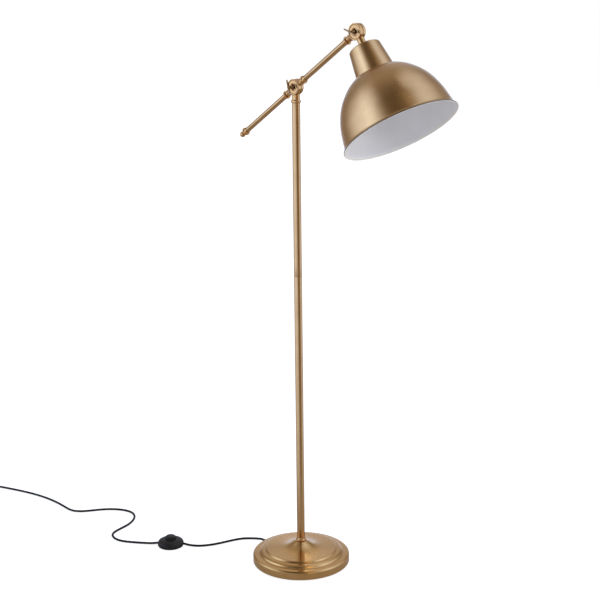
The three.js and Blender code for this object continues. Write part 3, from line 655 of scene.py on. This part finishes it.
# ------------------------------------------------------------------ pole
def tube(name, ri, ro, z0, z1, node, body, m=F_WORLD, mat=BRASS_LONG, segs=72):
    n = max(2, int((z1 - z0) / 40))
    mid = [(ro, z0 + (z1 - z0) * i / n) for i in range(1, n)]
    return lathe(name, fillet([(ri, z0), (ro, z0), *mid, (ro, z1), (ri, z1)], 0.25, 3), mat, body, node, segs, m)


tube("pole_lower_fine", 8.8, 10, 64.6, 758.6, "pole_lower", "stand")
tube("pole_upper_fine", 8.8, 10, 758.9, 1183.6, "pole_upper", "stand")
lathe("pole_top_collar_fine", fillet([(8.8, 1183.9), (10.8, 1183.9, 0.4), (12.1, 1185.6, 1.4), (12.1, 1189.2, 1.4), (10.8, 1190.9, 0.4), (8.8, 1190.9)], 0.3, 5), CAST, "stand", "pole_top_collar", 96)

# ------------------------------------------------------------------ joint pieces
DRUM_FRONT_PROFILE = [(3.3, -4.0), (7.4, -4.0, 0.5), (7.6, -8.9, 0.3), (8.3, -9.6, 0.5), (9.5, -9.3, 0.5), (10.2, -8.7, 0.4), (15.2, -8.7, 0.4), (15.9, -9.4, 0.5), (16.8, -10.2, 0.6),
                      (18.6, -10.05, 0.8), (19.3, -9.2, 0.8), (19.3, -1.0, 0.3), (18.9, -0.6, 0.2), (3.3, -0.6)]
DRUM_REAR_PROFILE = [(3.3, 0.6), (18.9, 0.6, 0.2), (19.3, 1.0, 0.3), (19.3, 7.0, 1.6), (18.0, 9.2, 1.6), (16.2, 9.8, 1.2), (3.3, 9.8)]


def front_half(m, mat):
    return finish_mesh("drum", lathe_bm(fillet(DRUM_FRONT_PROFILE, 0.3, 3), 96, m @ Z_TO_Y), mat)


def rear_half(m, mat):
    d = finish_mesh("drum", lathe_bm(fillet(DRUM_REAR_PROFILE, 0.3, 3), 96, m @ Z_TO_Y), mat)
    return cut(d, prism(hexagon(10), 4.8, 12, m @ Z_TO_Y, mat))


def knuckle(name, drum, necks, m, mat, front, body, node, bores=()):
    """Drum half and necks as one casting; a neck keeps clear of the other half."""
    z0, z1 = (-0.6, 14) if front else (-14, 0.6)
    for prof, nm in necks:
        nk = finish_mesh("neck", lathe_bm(fillet(prof, 0.35, 4), 72, nm), mat)
        cut(nk, solid([(0, z0), (19.65, z0), (19.65, z1), (0, z1)], 96, m @ Z_TO_Y, mat))
        cut(drum, nk, "UNION")
    for prof, bmx in bores:
        cut(drum, solid(prof, 24, bmx, mat))
    drum.name = name
    resharpen(drum)
    return dress(drum, body, node)


def arm_neck(end):
    return [(0, 11), (7.2, 11), (7.2, 20.4, 0.3), (8.3, 20.9, 0.5), (8.95, 22.0, 1.0), (8.3, 23.2, 0.5), (7.3, 23.8, 0.5), (7.3, 24.8, 0.5), (8.1, 25.4, 0.5), (8.65, 26.4, 0.9), (8.1, 27.5, 0.5), (7.2, 28.2, 0.6),
            (7.2, end, 0.2), (5.0, end, 0.1), (5.0, 52), (0, 52)]


Z_DOWN = Matrix.Rotation(rad(180), 4, "X")
Z_TO_MX = Matrix.Rotation(rad(-90), 4, "Y")
knuckle("pole_knuckle_fine", rear_half(F_J1, CAST_J1),
        [([(0, 11), (9.7, 11), (9.7, 30.6, 0.2), (8.5, 30.6, 0.1), (8.5, 52), (0, 52)], F_J1 @ Z_DOWN)], F_J1, CAST_J1, False, "stand", "pole_knuckle",
        [([(0, 22), (3.2, 22), (3.2, 54), (0, 54)], F_J1 @ Z_DOWN)])
knuckle("arm_knuckle_fine", front_half(F_ARM, CAST_J1), [(arm_neck(31.3), F_ARM @ Z_TO_X), (arm_neck(35.3), F_ARM @ Z_TO_MX)], F_ARM, CAST_J1, True, "arm", "arm_knuckle",
        [([(0, 24), (2.6, 24), (2.6, 54), (0, 54)], F_ARM @ Z_TO_X)])
knuckle("arm_end_knuckle_fine", rear_half(F_J2, CAST_J2), [(arm_neck(35.3), F_J2 @ Z_TO_MX)], F_J2, CAST_J2, False, "arm", "arm_end_knuckle",
        [([(0, 24), (2.6, 24), (2.6, 54), (0, 54)], F_J2 @ Z_TO_MX)])
F_SD = F_SHADE @ Z_DOWN  # local +Z runs down the shade's axis
shade_neck = [(0, 11), (8.9, 11), (8.9, 35.6, 1.0), (10.6, 37.0, 0.7), (10.6, 39.1, 0.3), (0, 39.1)]
knuckle("shade_knuckle_fine", front_half(F_SHADE, CAST_J2), [(shade_neck, F_SD)], F_SHADE, CAST_J2, True, "shade", "shade_knuckle",
        [([(0, 22), (5.3, 22), (5.3, 41), (0, 41)], F_SD)])


def wing(name, m, body, node, mat):
    """Thumb bar on a stem, standing clear of the drum's face."""
    half_ = smooth([(2.4, 20.3), (8, 21.5), (14, 22.5), (17.6, 23.0), (18.8, 23.8), (19.0, 24.7), (18.8, 25.5), (17.6, 26.2), (14, 26.4), (8, 26.4), (2.4, 26.6)], 3)
    pts = [(u, -w) for u, w in half_] + [(-u, -w) for u, w in reversed(half_)]
    plate = prism(pts, -1.3, 1.3, m, mat, 0.85, 4)
    stem = [(0, -26.85), (2.5, -26.85, 0.7), (3.4, -25.6, 0.6), (3.4, -21.4, 0.6), (3.1, -18, 1.0), (4.1, -13.8, 0.8), (4.9, -12.2, 0.6), (4.9, -10.8, 0.3), (2.8, -10.8, 0.2), (2.8, -17, 0.2), (0, -17)]
    cut(plate, finish_mesh("hub", lathe_bm(fillet(stem, 0.3, 4), 64, m @ Z_TO_Y), mat), "UNION")
    plate.name = name
    resharpen(plate, 40)
    return dress(plate, body, node)


F_W1 = F_J1 @ Matrix.Rotation(rad(-106), 4, "Y")
F_W2 = F_J2 @ Matrix.Rotation(rad(ARM_A), 4, "Y") @ Matrix.Rotation(rad(-160), 4, "Y")
STUD = [(0, -16.7), (2.5, -16.7, 0.3), (2.5, -10.4, 0.2), (4.8, -10.4, 0.5), (4.8, -4.3, 0.3), (3, -4.3, 0.2), (3, 9.2, 0.4), (0, 9.2)]
for tag, m, body, mat in (("lower", F_W1, "lower_wing", WING_J1), ("upper", F_W2, "upper_wing", WING_J2)):
    wing(f"{tag}_wing_screw_fine", m, body, f"{tag}_wing_screw", mat)
    lathe(f"{tag}_wing_stud_fine", fillet(STUD, 0.3, 3), STUD_PAINTED_SHADE, body, f"{tag}_wing_stud", 48, m @ Z_TO_Y)
for tag, m, body in (("lower", F_J1, "stand"), ("upper", F_J2, "arm")):
    nut = prism(hexagon(9.3), 5.1, 9.4, m @ Z_TO_Y, STEEL, 0.5, 2)
    cut(nut, solid([(0, 4), (3.3, 4), (3.3, 12), (0, 12)], 32, m @ Z_TO_Y, STEEL))
    nut.name = f"{tag}_clamp_nut_fine"
    resharpen(nut)
    dress(nut, body, f"{tag}_clamp_nut")

# ------------------------------------------------------------------ arm
def collar(x0):
    return fillet([(5.3, x0), (9.2, x0, 0.4), (10.3, x0 + 0.8, 0.6), (10.35, x0 + 2.8, 0.6), (9.4, x0 + 3.8, 0.5), (7.9, x0 + 4.6, 0.5), (7.4, x0 + 5.6, 0.6), (7.35, x0 + 10.4, 0.2), (7.0, x0 + 10.4), (7.0, x0 + 4.6), (5.3, x0 + 4.6)], 0.2, 4)


lathe("arm_collar_inner_fine", collar(31.6), CAST, "arm", "arm_collar_inner", 80, F_ARM @ Z_TO_X)
lathe("arm_collar_tail_fine", collar(35.6), CAST, "arm", "arm_collar_tail", 80, F_ARM @ Z_TO_MX)
lathe("arm_collar_outer_fine", collar(35.6), CAST, "arm", "arm_collar_outer", 80, F_J2 @ Z_TO_MX)
tube("arm_rod_fine", 5.4, 6.7, 36.5, ARM_L - 40.5, "arm_rod", "arm", F_ARM @ Z_TO_X)
tube("tail_rod_fine", 5.4, 6.7, 40.5, 217.4, "tail_rod", "arm", F_ARM @ Z_TO_MX)
lathe("finial_collar_fine", fillet([(5.3, 222.3), (9.2, 222.3, 0.4), (10.3, 221.5, 0.6), (10.35, 219.5, 0.6), (9.4, 218.5, 0.5), (7.9, 217.7, 0.5), (7.4, 216.7, 0.6), (7.35, 211.9, 0.2), (7.0, 211.9), (7.0, 217.7), (5.3, 217.7)], 0.2, 4),
      CAST, "arm", "finial_collar", 80, F_ARM @ Z_TO_MX)
ball = [(7.3 * math.cos(a), 235.5 + 7.3 * math.sin(a)) for a in [rad(90 - i * 146 / 22) for i in range(23)]]
ball[0] = (0, 242.8)
lathe("finial_fine", ball + fillet([(3.9, 228.8), (4.5, 227.9, 0.5), (6.5, 226.8, 0.7), (7.4, 225.0, 0.9), (7.2, 222.6, 0.2), (5.0, 222.6, 0.1), (5.0, 202, 0.4), (0, 202)], 0.3, 3),
      CAST, "arm", "finial", 80, F_ARM @ Z_TO_MX)

# ------------------------------------------------------------------ shade
cap_out = fillet([(5.3, 39.4), (31.6, 39.4, 2.4), (36.6, 42.0, 3.2), (37.7, 46.4, 1.2), (46.9, 112.1, 0.3)], 0.3, 6)
cap_in = [(45.8, 112.1), (36.5, 46.4), (35.4, 42.6), (32.2, 40.6), (5.3, 40.6)]
lathe("shade_cap_fine", cap_out + cap_in, BRASS_SPUN, "shade", "shade_cap", 160, F_SD)
flank = smooth([(61.6, 112.6), (67.7, 117), (77.5, 124.2), (88.1, 134.7), (99.3, 147.8), (109.3, 163.5), (117.7, 181.9), (124.6, 202.9), (128.8, 223.8), (132.0, 241.5), (133.0, 246.0), (134.4, 248.9), (135.6, 250.5)], 5)
outer = fillet([(20.2, 112.4), (44, 112.4), (60.8, 112.4, 1.5), flank[1]], 0.3, 4)[:-1] + flank[1:]
inner = offset(outer, 0.95)[::-1]
lip_out = next(i for i, p in enumerate(outer) if p[1] > 249.7)
# the rolled edge, around its own centre. Outside it, and on the last of the dome's outer face, painted shade in dark
# brass; inside it, and on the top of the lining, a painted highlight in brighter, warmer enamel.
bead, dark = [], 0
for i in range(19):
    a = rad(158 - i * 316 / 18)
    bead.append((136.2 + 1.55 * (0.6 * math.cos(a) + 0.8 * math.sin(a)), 252.1 + 1.55 * (0.8 * math.cos(a) - 0.6 * math.sin(a))))
    dark += a > rad(14)
bead_in = len(outer) + dark
lip_in = len(outer) + len(bead) + sum(p[1] > 249.4 for p in inner)
lathe("shade_dome_fine", outer + bead + inner, [BRASS_SPUN, RIM_PAINTED_SHADE, ENAMEL_HIGHLIGHT, ENAMEL], "shade", "shade_dome", 224, F_SD, mat_from=(lip_out, bead_in, lip_in))
lathe("lamp_holder_fine", fillet([(5.3, 47), (14, 47, 0.8), (18.5, 52, 2), (18.5, 100, 0.3), (19.6, 101, 0.3), (19.6, 128, 0.5), (17, 128, 0.5), (17, 66), (5.3, 66)], 0.4, 4), WHITE, "shade", "lamp_holder", 96, F_SD)
shell = [(4.4, 68.3), (15.2, 68.3), (16.5, 70)]
for i in range(9):
    s = 72 + i * 5.2
    shell += [(16.5, s), (16.5, s + 1.6, 0.8), (16.15, s + 2.6, 0.8), (16.5, s + 3.6, 0.8)]
shell += [(16.5, 122), (15.9, 122)]
for i in reversed(range(9)):
    s = 72 + i * 5.2
    shell += [(15.9, s + 3.9, 0.8), (15.2, s + 2.6, 1.0), (15.9, s + 1.3, 0.8)]
shell += [(15.7, 70.6), (14.8, 69.3), (4.4, 69.3)]
lathe("socket_shell_fine", fillet(shell, 0.2, 2), NICKEL, "shade", "socket_shell", 80, F_SD)
lathe("centre_contact_fine", fillet([(0, 66.5), (3.9, 66.5), (3.9, 71.5, 0.6), (2.4, 72.8, 0.8), (0, 72.8)], 0.3, 3), CAST, "shade", "centre_contact", 32, F_SD)


def grip(r, z, a):
    return -0.5 * (0.5 - 0.5 * math.cos(a * 24)) ** 2 if r > 23 and z > 116.4 and r < 24 else 0


lathe("shade_ring_fine", fillet([(20, 113.7), (27, 113.7, 0.4), (27, 115.4, 0.5), (23.6, 116.2, 0.3), (23.6, 118), (23.6, 122.4, 0.5), (20, 122.4)], 0.3, 3), WHITE, "shade", "shade_ring", 144, F_SD, wobble=grip, sharp=50)

# ------------------------------------------------------------------ CAD nodes that stay as they are
slots = {s["node"]: s["material_slot"] for s in frame["record"]["subparts"]}
for name, o in NODES.items():
    if not o.hide_render:
        o.data.materials.clear()
        o.data.materials.append(SLOT_MATERIAL[slots[name]])

# ------------------------------------------------------------------ floor and light
def floor():
    """White sweep: bright to the eye, a quiet grey in reflections."""
    bm = bmesh.new()
    bmesh.ops.create_grid(bm, x_segments=1, y_segments=1, size=14)
    for v in bm.verts:
        v.co.z = -0.0004
    n = Nodes("floor_white")
    seen = n.add("ShaderNodeAddShader", {0: n.add("ShaderNodeBsdfDiffuse", {"Color": (0.8, 0.8, 0.8, 1)}).outputs[0],
                                         1: n.add("ShaderNodeEmission", {"Color": (1, 1, 1, 1), "Strength": FLOOR_SEEN}).outputs[0]})
    other = n.add("ShaderNodeAddShader", {0: n.add("ShaderNodeBsdfDiffuse", {"Color": (0.42, 0.42, 0.43, 1)}).outputs[0],
                                          1: n.add("ShaderNodeEmission", {"Color": (1, 0.97, 0.93, 1), "Strength": FLOOR_BOUNCE}).outputs[0]})
    px, py = (n.add("ShaderNodeSeparateXYZ", {0: n.add("ShaderNodeTexCoord").outputs["Object"]}).outputs[i] for i in range(2))
    far = n.ramp(n.math("SQRT", n.math("ADD", n.math("MULTIPLY", px, px), n.math("MULTIPLY", py, py))), 0.40, 0.75, 0, 1)
    other = n.add("ShaderNodeMixShader", {0: far, 1: other.outputs[0], 2: n.add("ShaderNodeBsdfTransparent").outputs[0]})
    mixed = n.add("ShaderNodeMixShader", {0: n.add("ShaderNodeLightPath").outputs["Is Camera Ray"], 1: other.outputs[0], 2: seen.outputs[0]})
    n.nt.links.new(mixed.outputs[0], n.out.inputs[0])
    return finish_mesh("floor", bm, n.mat)


FLOOR_SEEN, FLOOR_BOUNCE = 0.72, 0.20
floor_o = floor()

# A studio of soft panels round the lamp: bearing from the camera's side in degrees, to the right positive, and the panel's
# brightness, for the band at the horizon, the band above it and the ceiling.
LOW = [(-180, 1.5), (-164, 0.9), (-156, 0.5), (-146, 0.34), (-128, 0.42), (-112, 1.0), (-96, 1.6), (-70, 1.5), (-48, 1.45), (-20, 1.25), (-9, 0.85), (2, 0.40), (10, 0.24), (44, 0.24), (56, 0.5), (70, 1.05), (84, 1.4), (100, 1.25),
       (116, 0.70), (130, 0.45), (150, 0.55), (164, 1.0), (180, 1.5)]
HIGH = [(-180, 0.70), (-166, 0.60), (-150, 0.34), (-130, 0.40), (-112, 0.85), (-98, 1.7), (-76, 2.2), (-62, 1.6), (-54, 0.95), (-46, 0.45), (-38, 0.20), (-8, 0.13), (4, 0.20), (13, (0.8, 0.66, 0.42)), (20, (2.3, 1.95, 1.3)),
        (29, (1.7, 1.5, 1.1)), (40, 0.95), (56, 1.75), (76, 1.8), (90, 1.25), (110, 0.95), (130, 0.55), (150, 0.34), (166, 0.60), (180, 0.70)]
CEILING = [(-180, 0.45), (-120, 0.50), (-85, 0.36), (-52, 0.16), (-20, 0.14), (8, 0.20), (45, 0.44), (90, 1.35), (130, 1.1), (160, 0.60), (180, 0.40)]
PEAK = 3.4
DIFFUSE_LIGHT = 0.50


def tinted(v):
    """Dim panels are warm and bright ones cool, as in a room with daylight on white cloth."""
    marks = [(0.0, (1.10, 0.96, 0.75)), (0.2, (1.08, 0.96, 0.78)), (0.45, (1.02, 0.98, 0.95)), (0.85, (0.90, 1.03, 1.28)), (1.4, (0.82, 1.05, 1.58)), (2.5, (0.78, 1.08, 1.66))]
    if isinstance(v, tuple):
        return v
    for (a, ca), (b, cb) in zip(marks, marks[1:]):
        if v <= b:
            t = (v - a) / (b - a)
            return tuple(v * (p + (q - p) * t) for p, q in zip(ca, cb))


world = bpy.data.worlds.new("studio")
scene.world = world
world.use_nodes = True
w = Nodes.__new__(Nodes)
w.nt = world.node_tree
w.nt.nodes.clear()
w.out = w.nt.nodes.new("ShaderNodeOutputWorld")
d = w.add("ShaderNodeTexCoord").outputs["Generated"]
dx, dy, dz = (w.add("ShaderNodeSeparateXYZ", {0: d}).outputs[i] for i in range(3))
a47 = rad(AZ)
toward = w.math("ADD", w.math("MULTIPLY", dx, math.sin(a47)), w.math("MULTIPLY", dy, -math.cos(a47)))
side = w.math("ADD", w.math("MULTIPLY", dx, math.cos(a47)), w.math("MULTIPLY", dy, math.sin(a47)))
bearing = w.math("MULTIPLY_ADD", w.math("ARCTAN2", side, toward), 1 / (2 * math.pi), 0.5)


def ring_of(marks):
    ramp = w.add("ShaderNodeValToRGB", {0: bearing})
    el = ramp.color_ramp.elements
    while len(el) > 1:
        el.remove(el[-1])
    for i, (deg, v) in enumerate(marks):
        e = el[0] if i == 0 else el.new(min(1.0, deg / 360 + 0.5))
        if i == 0:
            e.position = 0
        e.color = (*[c / PEAK for c in tinted(v)], 1)
    return ramp.outputs[0]


sky = w.mix(w.ramp(dz, 0.12, 0.30, 0, 1), ring_of(LOW), ring_of(HIGH))
sky = w.mix(w.ramp(dz, 0.52, 0.84, 0, 1), sky, ring_of(CEILING))
sky = w.mix(w.ramp(dz, -0.46, -0.27, 1, 0), sky, tuple(c / PEAK for c in tinted(0.36)))
env = w.add("ShaderNodeBackground", {"Color": sky, "Strength": PEAK})
back = w.add("ShaderNodeBackground", {"Color": (1, 1, 1, 1), "Strength": 1.0})
soft = w.add("ShaderNodeBackground", {"Color": (1.0, 0.985, 0.985, 1), "Strength": DIFFUSE_LIGHT})
env = w.add("ShaderNodeMixShader", {0: w.add("ShaderNodeLightPath").outputs["Is Diffuse Ray"], 1: env.outputs[0], 2: soft.outputs[0]})
both = w.add("ShaderNodeMixShader", {0: w.add("ShaderNodeLightPath").outputs["Is Camera Ray"], 1: env.outputs[0], 2: back.outputs[0]})
w.nt.links.new(both.outputs[0], w.out.inputs[0])


def panel(name, bearing, dist, z, size, power, colour, target):
    """A soft panel that lights the lamp without being seen."""
    data = bpy.data.lights.new(name, "AREA")
    data.shape, data.size, data.energy, data.color = "DISK", size, power, colour
    o = bpy.data.objects.new(name, data)
    scene.collection.objects.link(o)
    b = rad(AZ) + rad(bearing)
    o.location = (dist * math.sin(b), -dist * math.cos(b), z)
    o.rotation_euler = (Vector(target) - o.location).to_track_quat("-Z", "Y").to_euler()
    o.visible_camera = False
    return o


fill = panel("fill_right", 86, 2.2, 0.70, 0.8, 14.0, (1.0, 0.97, 0.94), (0.25, 0, 1.2))
fill.visible_glossy = False


def card(name, bearing, dist, z, wide, tall, radiance, colour):
    """A card behind the foot and below the shade, so that only the foot mirrors it."""
    o = panel(name, bearing, dist, z, 1.0, math.pi * wide * tall * radiance, colour, (0, 0, 0.05))
    o.data.shape, o.data.size, o.data.size_y = "RECTANGLE", wide, tall
    o.visible_diffuse = False


card("card_wide", 180, 0.75, 0.72, 0.50, 0.42, 0.24, (1.0, 0.93, 0.76))
card("card_strip", 177.6, 0.70, 0.70, 0.035, 0.50, 1.8, (1.0, 0.96, 0.80))

bpy.context.view_layer.update()
